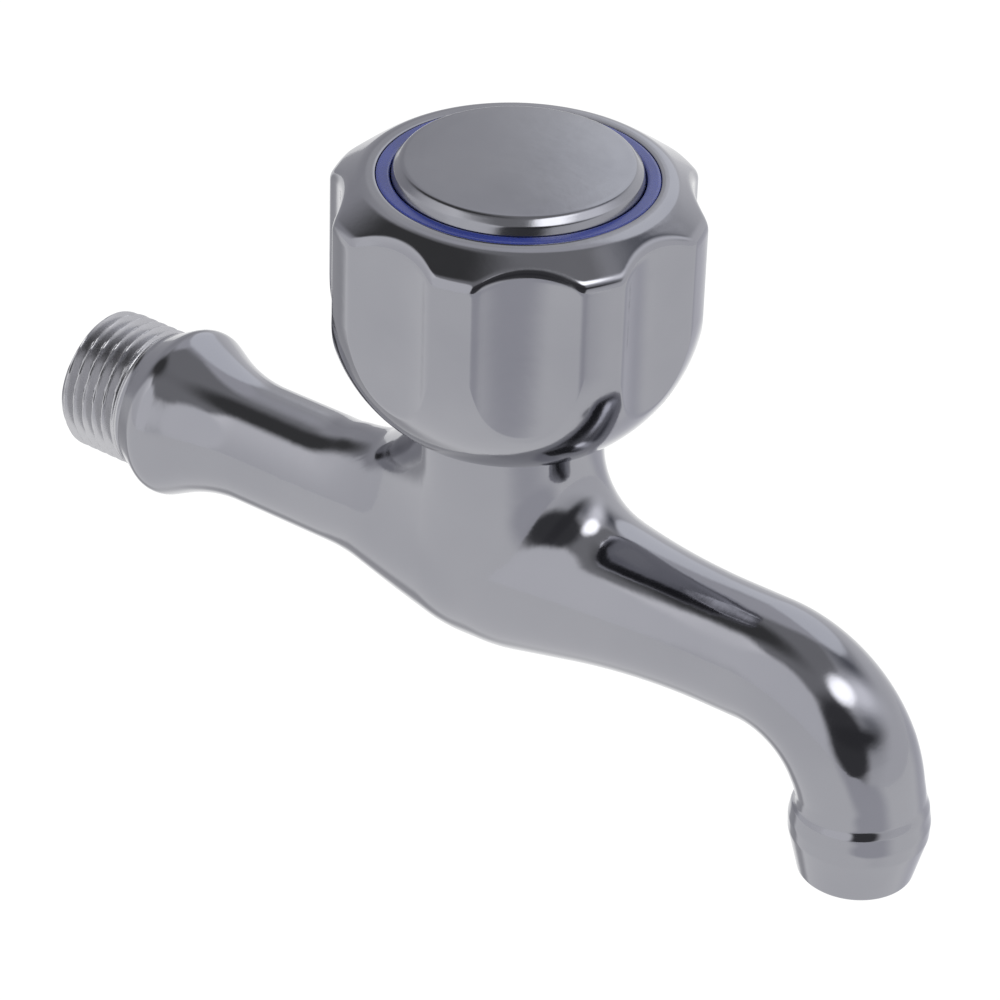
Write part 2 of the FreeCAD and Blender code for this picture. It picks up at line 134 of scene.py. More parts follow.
# Hand wheel
wheel_r = 25.8
wheel_flat_r = 20.8
wheel_flat_round = 3.0
wheel_cone_drop = 3.3
bowl_radius = 23.3
bowl_height = 18.8
wheel_wall = 2.2
wheel_bore_r = 21.2
wheel_mouth_r = 15.0
wheel_lip = 0.35
mouth_round = 0.3
bowl_centre_r = wheel_r - bowl_radius
bowl_centre_z = wheel_low_z + bowl_height
kink_round_least = 0.25
kink_round = 1.6
flute_count = 8
flute_cutter_r = 16.9
flute_depth = 2.4
flute_reach = wheel_r - flute_depth + flute_cutter_r
flute_turn = math.radians(-4.8)
flute_side_round = 0.7
flute_top_round = 2.6
boss_r = 9.6
boss_bore_r = 7.55
boss_low_z = 45.6
screw_way_r = 5.4
well_r = ring_r + 0.05
well_round = 0.18

# How finely the forms are divided: around them, and in millimetres along them
turn_steps = 144
rim_steps = 160
chamber_steps = 96
bore_steps = 48
patch_rings = 34
flute_columns = 48
flute_samples = 2001
belly_points = 27
mouth_points = 13
thread_step = 0.12
barrel_step = 0.6
barrel_fine_step = 0.25
nose_step = 0.3
ring_step = 0.2
cap_step = 0.25
bend_step = math.radians(2)
outlet_bend_degrees = range(0, 91, 6)
sharp_edge = math.radians(35)


def outline(corners, step):
    """Points no further apart than step, along a path of (a, b, rounding) corners."""
    fewest_on_arc = 4
    shortest_run = 1e-4
    points = [np.array(corner[:2], float) for corner in corners]
    path = [points[0]]
    for index in range(1, len(points) - 1):
        back = points[index - 1] - points[index]
        ahead = points[index + 1] - points[index]
        back /= np.linalg.norm(back)
        ahead /= np.linalg.norm(ahead)
        radius = corners[index][2]
        if radius == 0:
            path.append(points[index])
            continue
        half = math.acos(float(np.clip(back @ ahead, -1, 1))) / 2
        middle = back + ahead
        middle /= np.linalg.norm(middle)
        centre = points[index] + middle * radius / math.sin(half)
        start = points[index] + back * radius / math.tan(half) - centre
        end = points[index] + ahead * radius / math.tan(half) - centre
        sweep = math.pi - 2 * half
        count = max(fewest_on_arc, math.ceil(radius * sweep / step))
        for part in range(count + 1):
            angle = sweep * part / count
            share_start = math.sin(sweep - angle) / math.sin(sweep)
            share_end = math.sin(angle) / math.sin(sweep)
            path.append(centre + start * share_start + end * share_end)
    path.append(points[-1])
    dense = [path[0]]
    for point in path[1:]:
        last = dense[-1]
        run = np.linalg.norm(point - last)
        if run < shortest_run:
            continue
        count = math.ceil(run / step)
        for part in range(1, count + 1):
            dense.append(last + (point - last) * part / count)
    return np.array(dense)


def smoothstep(value, low, high):
    """0 below low, 1 above high and a smooth curve between."""
    share = np.clip((value - low) / (high - low), 0, 1)
    return share * share * (3 - 2 * share)


def centre_z(x):
    """Height of the body's centreline: the spout sits a little over the arm."""
    return spout_rise * smoothstep(x, rise_start_x, rise_end_x)


def thread_radius(x, turn):
    """Radius of the inlet thread at a place along it and a turn around it."""
    phase = 2 * np.pi * x / thread_pitch + turn
    wave = np.arcsin(thread_sharpness * np.sin(phase)) / math.asin(thread_sharpness)
    wave = np.clip(thread_flats * wave, -1, 1)
    depth = thread_depth * (1 - smoothstep(x, -thread_runout, -thread_shank))
    radius = thread_r - depth * (1 - wave) / 2
    lead_in = thread_r - thread_chamfer + (x - thread_start_x)
    return np.minimum(radius, lead_in)


def shade(mesh):
    """Smooth shading but for the sharp edges."""
    mesh.polygons.foreach_set("use_smooth", [True] * len(mesh.polygons))
    mesh.set_sharp_from_angle(angle=sharp_edge)


def fix_normals(mesh):
    """Turns every face of a closed mesh outward."""
    work = bmesh.new()
    work.from_mesh(mesh)
    bmesh.ops.recalc_face_normals(work, faces=work.faces)
    work.to_mesh(mesh)
    work.free()


def make_object(name, points, faces):
    """A closed mesh object from points in millimetres."""
    mesh = bpy.data.meshes.new(name)
    mesh.from_pydata([tuple(point) for point in np.asarray(points) * MM], [], faces)
    mesh.validate()
    mesh.update()
    made = bpy.data.objects.new(name, mesh)
    bpy.context.scene.collection.objects.link(made)
    shade(mesh)
    fix_normals(mesh)
    return made


def make_piece(name, points, faces, body, material):
    """A piece of the tap that moves with a body and has a material in its slot."""
    made = make_object(name, points, faces)
    made.data.materials.append(material)
    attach(made, body)
    return made


def lathe(profile, steps, centre_x, closed=True):
    """Points and faces of a profile of (radius, height) turned about an upright axis."""
    profile = np.asarray(profile, float)
    count = len(profile)
    turns = 2 * np.pi * np.arange(steps) / steps
    points = np.empty((steps, count, 3))
    points[:, :, 0] = centre_x + np.cos(turns)[:, None] * profile[None, :, 0]
    points[:, :, 1] = np.sin(turns)[:, None] * profile[None, :, 0]
    points[:, :, 2] = profile[None, :, 1]
    faces = grid_faces(steps, count, closed)
    return points.reshape(-1, 3), faces


def grid_faces(columns, rows, closed):
    """Quads of a grid that closes on itself across columns, and down rows if closed."""
    faces = []
    last = rows if closed else rows - 1
    for column in range(columns):
        after = (column + 1) % columns
        for row in range(last):
            below = (row + 1) % rows
            faces.append((column * rows + row, after * rows + row,
                          after * rows + below, column * rows + below))
    return faces


def turned_solid(profile, steps, centre_x):
    """Points and faces of a profile turned about an upright axis, closed by flat ends."""
    points, faces = lathe(profile, steps, centre_x, closed=False)
    rows = len(profile)
    for end in (0, rows - 1):
        faces.append(tuple(range(end, len(points), rows)))
    return points, faces


# The casting

barrel_outline = outline(barrel_corners, barrel_fine_step)


def round_section(out_share, outward, side_share):
    """Offsets of a round section's points, outward from a bend and sideways along y."""
    return out_share[:, None] * outward + side_share[:, None] * np.array([0, 1, 0])


def barrel_radius(x):
    """Radius of the turned part of the body at a place along it."""
    return np.interp(x, barrel_outline[:, 0], barrel_outline[:, 1])


def body_rings():
    """Rings of points from the thread's end to the nose's end, with each ring's x or None."""
    turns = 2 * np.pi * np.arange(turn_steps) / turn_steps
    out_y = np.sin(turns)
    out_z = np.cos(turns)
    rings = []
    stations = []
    for x in np.arange(thread_start_x, -thread_step / 2, thread_step):
        radius = thread_radius(x, turns)
        rings.append(np.stack([np.full(turn_steps, x), radius * out_y, radius * out_z], 1))
        stations.append(x)
    for x, radius in outline(barrel_corners, barrel_step):
        up = centre_z(x) + radius * out_z
        rings.append(np.stack([np.full(turn_steps, x), radius * out_y, up], 1))
        stations.append(x)
    pivot = np.array([nose_x - bend_radius, 0, pivot_z])
    nose_turn = math.pi / 2 - (nose_start_z - pivot_z) / bend_radius
    bend = [(spout_r, turn) for turn in np.arange(bend_step, nose_turn, bend_step)]
    for radius, height in outline(nose_corners, nose_step):
        bend.append((radius, math.pi / 2 - (height - pivot_z) / bend_radius))
    for radius, turn in bend:
        angle = min(turn, math.pi / 2)
        outward = np.array([math.sin(angle), 0, math.cos(angle)])
        radius += bend_swell * max(math.sin(2 * turn), 0)
        centre = pivot + bend_radius * outward - (0, 0, bend_radius * (turn - angle))
        rings.append(centre + radius * round_section(out_z, outward, out_y))
        stations.append(None)
    return rings, stations


def body_distance(points):
    """Signed distance, near the neck, to barrel and neck with a rounded hollow between them."""
    beside = 0.05
    least_sine_squared = 1e-6
    x, y, z = points.T
    radius = barrel_radius(x)
    slope = (barrel_radius(x + beside) - barrel_radius(x - beside)) / (2 * beside)
    lift = z - centre_z(x)
    across = np.hypot(y, lift)
    steep = np.sqrt(1 + slope ** 2)
    barrel = (across - radius) / steep
    from_axis = np.hypot(x - spindle_x, y)
    neck = from_axis - neck_r
    barrel_normal = np.stack([-slope, y / across, lift / across], 1) / steep[:, None]
    neck_normal = np.stack([(x - spindle_x) / from_axis, y / from_axis, np.zeros_like(x)], 1)
    cosine = np.sum(barrel_normal * neck_normal, 1)
    sine_squared = np.maximum(1 - cosine ** 2, least_sine_squared)
    side = smoothstep((spindle_x - x) / from_axis, arm_side_start, arm_side_end)
    blend = neck_blend + (neck_blend_arm - neck_blend) * side
    u = blend - barrel
    v = blend - neck
    inside = ((u - v * cosine) > 0) & ((v - u * cosine) > 0)
    reach = np.sqrt(np.maximum(u * u + v * v - 2 * u * v * cosine, 0) / sine_squared)
    return np.where(inside, blend - reach, np.minimum(barrel, neck))


def settle(points, rounds):
    """Points moved along the gradient onto the body's surface."""
    small = 0.01
    least_slope = 0.05
    for _ in range(rounds):
        value = body_distance(points)
        slopes = []
        for axis in np.eye(3):
            ahead = body_distance(points + small * axis)
            behind = body_distance(points - small * axis)
            slopes.append((ahead - behind) / (2 * small))
        gradient = np.stack(slopes, 1)
        size = np.maximum(np.sum(gradient ** 2, 1), least_slope)
        points = points - gradient * (value / size)[:, None]
    return points


def neck_patch(edge):
    """Rings of points from the neck's top down and out to a closed edge on the barrel."""
    plan_share = 0.45
    smoothing_rounds = 120
    least_foot = 0.5
    plan = np.unwrap(np.arctan2(edge[:, 1], edge[:, 0] - spindle_x))
    total = 2 * np.pi * np.sign(plan[-1] - plan[0])
    even = plan[0] + total * np.arange(len(edge)) / len(edge)
    turn = plan_share * plan + (1 - plan_share) * even
    top = np.stack([spindle_x + neck_r * np.cos(turn), neck_r * np.sin(turn),
                    np.full(len(edge), neck_top_z)], 1)
    foot = top.copy()
    reach = np.clip(barrel_radius(foot[:, 0]) ** 2 - foot[:, 1] ** 2, least_foot, None)
    foot[:, 2] = np.sqrt(reach)
    rings = np.empty((patch_rings + 1, len(edge), 3))
    for index in range(patch_rings + 1):
        share = index / patch_rings
        rings[index] = ((1 - share) ** 2 * top + 2 * share * (1 - share) * foot
                        + share ** 2 * edge)
    inner = rings[1:-1].shape
    rings[1:-1] = settle(rings[1:-1].reshape(-1, 3), rounds=8).reshape(inner)
    for _ in range(smoothing_rounds):
        around = (np.roll(rings, 1, 1) + np.roll(rings, -1, 1))[1:-1]
        moved = (around + rings[:-2] + rings[2:]) / 4
        rings[1:-1] = settle(moved.reshape(-1, 3), rounds=1).reshape(inner)
    rings[1:-1] = settle(rings[1:-1].reshape(-1, 3), rounds=4).reshape(inner)
    return rings[:-1]


def body_skin():
    """Points and faces of the body's closed outer skin, still solid inside."""
    rings, stations = body_rings()
    quarter = turn_steps // 4
    near = [index for index, x in enumerate(stations)
            if x is not None and abs(x - spindle_x) < neck_reach]
    first, last = near[0], near[-1]
    points = np.concatenate(rings)
    faces = []

    def place(ring, turn):
        return ring * turn_steps + turn % turn_steps

    for ring in range(len(rings) - 1):
        for turn in range(-turn_steps // 2, turn_steps // 2):
            if first <= ring < last and -quarter <= turn < quarter:
                continue
            faces.append((place(ring, turn), place(ring + 1, turn),
                          place(ring + 1, turn + 1), place(ring, turn + 1)))
    loop = [place(first, turn) for turn in range(-quarter, quarter)]
    loop += [place(ring, quarter) for ring in range(first, last)]
    loop += [place(last, turn) for turn in range(quarter, -quarter, -1)]
    loop += [place(ring, -quarter) for ring in range(last, first, -1)]
    patch = neck_patch(points[loop])
    base = len(points)
    around = len(loop)
    points = np.concatenate([points, patch.reshape(-1, 3)])

    def patch_place(ring, index):
        if ring == patch_rings:
            return loop[index % around]
        return base + ring * around + index % around

    for ring in range(patch_rings):
        for index in range(around):
            faces.append((patch_place(ring, index), patch_place(ring + 1, index),
                          patch_place(ring + 1, index + 1), patch_place(ring, index + 1)))
    ends = [
        ([place(0, turn) for turn in range(turn_steps)], (thread_start_x, 0, 0)),
        ([place(len(rings) - 1, turn) for turn in range(turn_steps)], (nose_x, 0, nose_end_z)),
        ([patch_place(0, index) for index in range(around)], (spindle_x, 0, neck_top_z)),
    ]
    for edge, centre in ends:
        points = np.concatenate([points, [centre]])
        middle = len(points) - 1
        for index in range(len(edge)):
            faces.append((edge[index], edge[(index + 1) % len(edge)], middle))
    return points, faces


def tube(path, radius):
    """Points and faces of a closed round bar along a path in the plane y = 0."""
    steps = bore_steps
    path = np.asarray(path, float)
    turns = 2 * np.pi * np.arange(steps) / steps
    rings = []
    for index, centre in enumerate(path):
        before = path[max(index - 1, 0)]
        after = path[min(index + 1, len(path) - 1)]
        along = (after - before) / np.linalg.norm(after - before)
        outward = np.array([-along[2], 0, along[0]])
        rings.append(centre + radius * round_section(np.cos(turns), outward, np.sin(turns)))
    points = np.concatenate(rings)
    faces = []
    for ring in range(len(path) - 1):
        for turn in range(steps):
            after = (turn + 1) % steps
            faces.append((ring * steps + turn, (ring + 1) * steps + turn,
                          (ring + 1) * steps + after, ring * steps + after))
    faces.append(tuple(range(steps)))
    faces.append(tuple((len(path) - 1) * steps + turn for turn in range(steps)))
    return points, faces


def cut_away(made, points, faces):
    """Cuts a closed form out of a mesh object, for good."""
    cutter = make_object("cutter", points, faces)
    cut = made.modifiers.new("cut", "BOOLEAN")
    cut.operation = "DIFFERENCE"
    cut.solver = "MANIFOLD"
    cut.object = cutter
    graph = bpy.context.evaluated_depsgraph_get()
    result = bpy.data.meshes.new_from_object(made.evaluated_get(graph))
    made.modifiers.clear()
    made.data = result
    bpy.data.objects.remove(cutter)


# Water way inside the casting, as in the CAD body. The cutters stand out over its ends.
inlet_bore_r = 6.0
inlet_bore_end_x = spindle_x - 22.0
passage_r = 4.6
passage_start_x = inlet_bore_end_x - 3
passage_bend = (spindle_x - 5, 0, -5.8)
passage_end = (spindle_x - 1, 0, -7.0)
neck_bore_r = 10.53
neck_bore_z = neck_top_z - 10
chamber_bore_r = 9.2
seat_z = 3.0
seat_bore_r = 6.0
seat_rim_r = seat_bore_r + 1.4
chamber_floor_z = seat_z - 1.5
seat_bore_low_z = seat_z - 12
outlet_bore_r = 5.2
outlet_bore_start_x = spindle_x + 22.0
outlet_start = (spindle_x + 8.4, 0, 6.4)
outlet_slope_end = (outlet_bore_start_x - 4, 0, 1.6)
outlet_level_start = (outlet_bore_start_x + 1, 0, spout_rise)
cutter_overhang = 1


def water_way():
    """Closed forms of the bores and chambers that the water runs through."""
    bore_end = (inlet_bore_end_x, 0, 0)
    inlet = [(thread_start_x - cutter_overhang, 0, 0), bore_end]
    dip = [(passage_start_x, 0, 0), bore_end, passage_bend, passage_end]
    chamber = [
        (neck_bore_r, neck_top_z + cutter_overhang), (neck_bore_r, neck_bore_z),
        (chamber_bore_r, neck_bore_z), (chamber_bore_r, chamber_floor_z),
        (seat_rim_r, chamber_floor_z), (seat_rim_r, seat_z), (seat_bore_r, seat_z),
        (seat_bore_r, seat_bore_low_z),
    ]
    outlet = [outlet_start, outlet_slope_end, outlet_level_start]
    pivot = np.array([nose_x - bend_radius, 0, pivot_z])
    for angle in np.radians(outlet_bend_degrees):
        outlet.append(pivot + bend_radius * np.array([math.sin(angle), 0, math.cos(angle)]))
    outlet.append((nose_x, 0, nose_end_z - cutter_overhang))
    return [
        tube(inlet, inlet_bore_r),
        tube(dip, passage_r),
        turned_solid(chamber, chamber_steps, spindle_x),
        tube(outlet, outlet_bore_r),
    ]


# The hand wheel


def flute_edge_turn():
    """Angle from a flute's middle to its edge on the wheel's rim."""
    cosine = ((wheel_r ** 2 + flute_reach ** 2 - flute_cutter_r ** 2)
              / (2 * wheel_r * flute_reach))
    return math.acos(cosine)


def flute_turns():
    """Turns around the wheel, closer together where a flute meets the land beside it."""
    crowding = 5
    crowd_width = math.radians(1.3)
    half = math.pi / flute_count
    fine = np.linspace(-half, half, flute_samples)
    density = 1 + crowding * np.exp(-((np.abs(fine) - flute_edge_turn()) / crowd_width) ** 2)
    share = np.concatenate([[0], np.cumsum((density[1:] + density[:-1]) / 2)])
    places = np.interp(np.arange(flute_columns) / flute_columns, share / share[-1], fine)
    turns = []
    for index in range(flute_count):
        turns.append(flute_turn + 2 * half * index + places)
    return np.concatenate(turns), np.tile(places, flute_count)


def side_radius(place):
    """The fluted side's radius at an angle from the nearest flute's middle."""
    across = flute_reach * math.sin(place)
    flute = flute_reach * math.cos(place) - math.sqrt(flute_cutter_r ** 2 - across ** 2)
    blend = max(flute_side_round - abs(flute - wheel_r), 0) / flute_side_round
    return min(flute, wheel_r) - blend ** 2 * flute_side_round / 4


def bend_between(before, corner, after, count):
    """Points of a smooth bend from before to after that leans on a corner."""
    share = np.linspace(0, 1, count)[:, None]
    before, corner, after = (np.array(item, float) for item in (before, corner, after))
    return (1 - share) ** 2 * before + 2 * share * (1 - share) * corner + share ** 2 * after


def straight(before, after, count):
    """Points after the first, on a straight run."""
    share = np.linspace(0, 1, count + 1)[1:, None]
    return np.array(before, float) * (1 - share) + np.array(after, float) * share


def on_bowl(angle):
    """Point of the wheel's round belly at an angle under the belly's widest place."""
    return np.array([bowl_centre_r + bowl_radius * math.cos(angle),
                     bowl_centre_z + bowl_radius * math.sin(angle)])


def wheel_section(side):
    """The wheel's outer section, from its bottom lip to its well, where its side is at side."""
    low = math.asin((wheel_low_z - bowl_centre_z) / bowl_radius)
    kink = -math.acos(min((side - bowl_centre_r) / bowl_radius, 1.0))
    slack = kink_round_least + kink_round * math.tan(-kink / 2)
    lip_turn = low + wheel_lip / bowl_radius

    # Lip, belly and the bend from the belly into the upright side
    lip_corner = on_bowl(low)
    run = [bend_between(lip_corner - (wheel_lip, 0), lip_corner, on_bowl(lip_turn), count=5)]
    angles = np.linspace(lip_turn, kink - slack / bowl_radius, belly_points)[1:]
    run.append(np.array([on_bowl(angle) for angle in angles]))
    corner = on_bowl(kink)
    corner[0] = side
    run.append(bend_between(run[-1][-1], corner, corner + (0, slack), count=8)[1:])

    # Upright side, rounded shoulder and cone
    fall = wheel_cone_drop / (wheel_r - wheel_flat_r)
    top = np.array([side, wheel_top_z - wheel_cone_drop + (wheel_r - side) * fall])
    cone_run = np.array([-1, fall]) / math.hypot(1, fall)
    leg = flute_top_round * math.tan(math.pi / 4 - math.atan(fall) / 2)
    top_start = top - (0, leg)
    top_end = top + cone_run * leg
    run.append(straight(run[-1][-1], top_start, count=12))
    run.append(bend_between(top_start, top, top_end, count=15)[1:])

    # Flat rim and the well's edge
    flat = np.array([wheel_flat_r, wheel_top_z])
    flat_leg = wheel_flat_round * math.tan(math.atan(fall) / 2)
    cone_end = flat - cone_run * flat_leg
    flat_start = flat - (flat_leg, 0)
    flat_end = (well_r + well_round, wheel_top_z)
    run.append(straight(top_end, cone_end, count=4))
    run.append(bend_between(cone_end, flat, flat_start, count=9)[1:])
    run.append(straight(flat_start, flat_end, count=2))
    run.append(bend_between(flat_end, (well_r, wheel_top_z),
                            (well_r, wheel_top_z - well_round), count=4)[1:])
    return np.concatenate(run)


def wheel_inside():
    """The wheel's inner section, from its well round the boss to its mouth."""
    inner = bowl_radius - wheel_wall
    wide = -math.acos((wheel_bore_r - bowl_centre_r) / inner)
    mouth = -math.acos((wheel_mouth_r - bowl_centre_r) / inner)

    # (radius, height, parts of the straight run that ends there)
    corners = [
        (well_r, wheel_top_z - well_round, 0),
        (well_r, well_floor_z, 3),
        (screw_way_r, well_floor_z, 4),
        (screw_way_r, deck_low_z, 1),
        (boss_bore_r, deck_low_z, 1),
        (boss_bore_r, boss_low_z, 2),
        (boss_r, boss_low_z, 1),
        (boss_r, deck_low_z, 2),
        (wheel_bore_r, deck_low_z, 3),
    ]
    run = []
    for before, after in zip(corners, corners[1:]):
        run.append(straight(before[:2], after[:2], after[2]))
    angles = np.linspace(wide, mouth, mouth_points)
    arc = np.stack([bowl_centre_r + inner * np.cos(angles),
                    bowl_centre_z + inner * np.sin(angles)], 1)
    run.append(straight((wheel_bore_r, deck_low_z), arc[0], count=4))
    run.append(arc[1:])
    run.append(bend_between((wheel_mouth_r, wheel_low_z + mouth_round),
                            (wheel_mouth_r, wheel_low_z),
                            (wheel_mouth_r + mouth_round, wheel_low_z), count=4))
    return np.concatenate(run)


def wheel_mesh():
    """Points and faces of the hand wheel, one closed form."""
    turns, places = flute_turns()
    inside = wheel_inside()
    columns = []
    for turn, place in zip(turns, places):
        section = np.concatenate([wheel_section(side_radius(place)), inside])
        columns.append(np.stack([
            spindle_x + section[:, 0] * math.cos(turn),
            section[:, 0] * math.sin(turn),
            section[:, 1],
        ], 1))
    rows = len(columns[0])
    return np.concatenate(columns), grid_faces(len(columns), rows, True)


# Ring and cap
ring_inner_r = cap_r + 0.1
ring_foot_round = 0.15
ring_top_round = 0.3
cap_edge_r = cap_r - 1.35
cap_edge_round = 1.0
cap_slope_r = cap_r - 0.35
cap_slope_drop = 1.1
cap_slope_round = 0.8
cap_side_top_z = wheel_top_z - 0.1
cap_side_round = 1.0
cap_foot_round = 0.1
cap_dome = 0.5
cap_dome_inset = 3.0
cap_dome_start_r = cap_edge_r - cap_dome_inset
cap_dome_rings = 24
cap_top_clearance = 0.0005
cap_hollow_r = cap_r - 3.5
cap_hollow_round = 0.3
cap_hollow_z = cap_low.z + 4.95
cap_end_r = 0.02


def ring_profile():
    """Section of the blue ring, with small rounded edges."""
    middle = ((ring_inner_r + ring_r) / 2, ring_low.z, 0)
    corners = [
        middle,
        (ring_r, ring_low.z, ring_foot_round),
        (ring_r, ring_high.z, ring_top_round),
        (ring_inner_r, ring_high.z, ring_top_round),
        (ring_inner_r, ring_low.z, ring_foot_round),
        middle,
    ]
    return outline(corners, ring_step)[:-1]


def cap_profile():
    """Section of the raised cap: domed top, rounded edge, sloped shoulder, side that flares."""
    edge_z = cap_high.z - cap_dome
    dome_r = (cap_edge_r ** 2 + cap_dome ** 2) / (2 * cap_dome)
    dome_centre_z = cap_high.z - dome_r
    rise = cap_edge_r / dome_r
    corners = [
        (cap_end_r, cap_hollow_z, 0),
        (cap_hollow_r, cap_hollow_z, cap_hollow_round),
        (cap_hollow_r, cap_low.z, cap_foot_round),
        (cap_r, cap_low.z, cap_foot_round),
        (cap_r, cap_side_top_z, cap_side_round),
        (cap_slope_r, edge_z - cap_slope_drop, cap_slope_round),
        (cap_edge_r, edge_z, cap_edge_round),
        (cap_dome_start_r, edge_z + cap_dome_inset * rise, 0),
    ]
    side = outline(corners, cap_step)
    radii = np.linspace(cap_dome_start_r, cap_end_r, cap_dome_rings)[1:]
    heights = dome_centre_z + np.sqrt(dome_r ** 2 - radii ** 2)
    step = side[-1, 1] - (dome_centre_z + math.sqrt(dome_r ** 2 - cap_dome_start_r ** 2))
    heights += step * radii / cap_dome_start_r
    heights = np.minimum(heights, cap_high.z - cap_top_clearance)
    return np.concatenate([side, np.stack([radii, heights], 1)])


# Materials


def new_material(name):
    """A new node material, its tree and its shader."""
    material = bpy.data.materials.new(name)
    material.use_nodes = True
    return material, material.node_tree, material.node_tree.nodes["Principled BSDF"]


def noise(tree, scale, detail, stretch=(1, 1, 1)):
    """Noise in the object's own coordinates."""
    coordinates = tree.nodes.new("ShaderNodeTexCoord")
    mapping = tree.nodes.new("ShaderNodeMapping")
    mapping.inputs["Scale"].default_value = stretch
    texture = tree.nodes.new("ShaderNodeTexNoise")
    texture.inputs["Scale"].default_value = scale
    texture.inputs["Detail"].default_value = detail
    tree.links.new(coordinates.outputs["Object"], mapping.inputs["Vector"])
    tree.links.new(mapping.outputs["Vector"], texture.inputs["Vector"])
    return texture.outputs["Fac"]


def ramp(tree, value, low, high):
    """A value from noise, spread between two colours."""
    node = tree.nodes.new("ShaderNodeValToRGB")
    places = (0.3, 0.7)
    for stop, place, colour in zip(node.color_ramp.elements, places, (low, high)):
        stop.position = place
        stop.color = (*colour, 1)
    tree.links.new(value, node.inputs["Fac"])
    return node.outputs["Color"]


def bump(tree, shader, height, strength, distance):
    """Bump from a height value."""
    node = tree.nodes.new("ShaderNodeBump")
    node.inputs["Strength"].default_value = strength
    node.inputs["Distance"].default_value = distance
    tree.links.new(height, node.inputs["Height"])
    tree.links.new(node.outputs["Normal"], shader.inputs["Normal"])


def finish_material(name, colours, scale, metallic, rough, grain, stretch=(1, 1, 1)):
    """A material whose colour and roughness vary a little with noise, with a fine grain.

    colours and rough are each (lowest, highest), and grain is the bump's noise scale, its
    strength and its distance in metres.
    """
    wear_scale = scale * 6
    material, tree, shader = new_material(name)
    shader.inputs["Metallic"].default_value = metallic
    tint = noise(tree, scale, detail=3)
    tree.links.new(ramp(tree, tint, *colours), shader.inputs["Base Color"])
    wear = noise(tree, wear_scale, detail=5)
    greys = [(value,) * 3 for value in rough]
    tree.links.new(ramp(tree, wear, *greys), shader.inputs["Roughness"])
    grain_scale, strength, distance = grain
    height = noise(tree, grain_scale, detail=3, stretch=stretch)
    bump(tree, shader, height, strength, distance)
    return material


chrome_colours = ((0.303, 0.305, 0.335), (0.330, 0.332, 0.360))
chrome_body = finish_material(
    "chrome_body", chrome_colours,
    scale=40, metallic=1, rough=(0.07, 0.12), grain=(260, 0.06, 0.0004))
# The thread's chrome is rougher, as it is machined; its colour, lighter than the body's chrome,
# is painted light that lifts the shade in its grooves.
chrome_thread_painted_lighter = finish_material(
    "chrome_thread_painted_lighter", ((0.46, 0.46, 0.48), (0.54, 0.54, 0.56)),
    scale=60, metallic=1, rough=(0.22, 0.30), grain=(500, 0.08, 0.0003))
chrome_wheel = finish_material(
    "chrome_wheel", chrome_colours,
    scale=60, metallic=1, rough=(0.06, 0.12), grain=(300, 0.05, 0.0004))
chrome_cap = finish_material(
    "chrome_cap", ((0.287, 0.29, 0.318), (0.314, 0.317, 0.343)),
    scale=70, metallic=1, rough=(0.12, 0.18), grain=(420, 0.06, 0.0003))
ring_blue = finish_material(
    "ring_blue", ((0.02, 0.04, 0.27), (0.03, 0.055, 0.35)),
    scale=120, metallic=0, rough=(0.22, 0.32), grain=(900, 0.08, 0.0002))
ring_blue.node_tree.nodes["Principled BSDF"].inputs["Coat Weight"].default_value = 0.4
brass = finish_material(
    "machined_brass", ((0.62, 0.43, 0.17), (0.74, 0.54, 0.25)),
    scale=90, metallic=1, rough=(0.22, 0.34), grain=(160, 0.12, 0.0004), stretch=(1, 1, 12))
fibre = finish_material(
    "red_fibre", ((0.30, 0.05, 0.035), (0.46, 0.10, 0.06)),
    scale=500, metallic=0, rough=(0.75, 0.9), grain=(1500, 0.4, 0.0004))
packing = finish_material(
    "white_packing", ((0.66, 0.65, 0.60), (0.80, 0.79, 0.74)),
    scale=350, metallic=0, rough=(0.5, 0.65), grain=(900, 0.3, 0.0003), stretch=(1, 1, 3))
rubber = finish_material(
    "black_rubber", ((0.018, 0.018, 0.018), (0.035, 0.034, 0.033)),
    scale=300, metallic=0, rough=(0.6, 0.8), grain=(1200, 0.3, 0.0003))
white_plastic = finish_material(
    "white_plastic", ((0.68, 0.68, 0.64), (0.78, 0.78, 0.74)),
    scale=120, metallic=0, rough=(0.35, 0.5), grain=(700, 0.1, 0.0003))
zinc_steel = finish_material(
    "zinc_steel", ((0.42, 0.43, 0.46), (0.56, 0.57, 0.58)),
    scale=200, metallic=1, rough=(0.25, 0.4), grain=(400, 0.15, 0.0003))


def dress_cad_nodes():
    """Gives each CAD node that stays its own material."""
    finishes = {
        "bonnet": brass, "packing_washer": brass, "gland_follower": brass, "gland_nut": brass,
        "spindle": brass, "jumper_valve": brass, "washer_nut": brass, "body_washer": fibre,
        "gland_packing": packing, "jumper_washer": rubber, "wheel_insert": white_plastic,
        "wheel_screw": zinc_steel, "screw_washer": zinc_steel,
    }
    for name, material in finishes.items():
        mesh = nodes[name].data
        mesh.materials.clear()
        mesh.materials.append(material)


def build_body():
    """The chromed casting, in place of the CAD body."""
    points, faces = body_skin()
    made = make_piece("body_casting", points, faces, "tap", chrome_body)
    for points, faces in water_way():
        cut_away(made, points, faces)
    shade(made.data)
    made.data.materials.clear()
    made.data.materials.append(chrome_body)
    # The thread's faces take the lighter chrome copy: painted light over the shade in its
    # grooves.
    made.data.materials.append(chrome_thread_painted_lighter)
    thread_end_x = -0.05
    thread_skin_r = thread_r - thread_depth - 0.3
    for face in made.data.polygons:
        x, y, z = face.center / MM
        on_thread = x < thread_end_x and math.hypot(y, z) > thread_skin_r
        face.material_index = 1 if on_thread else 0
    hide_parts("tap_body")


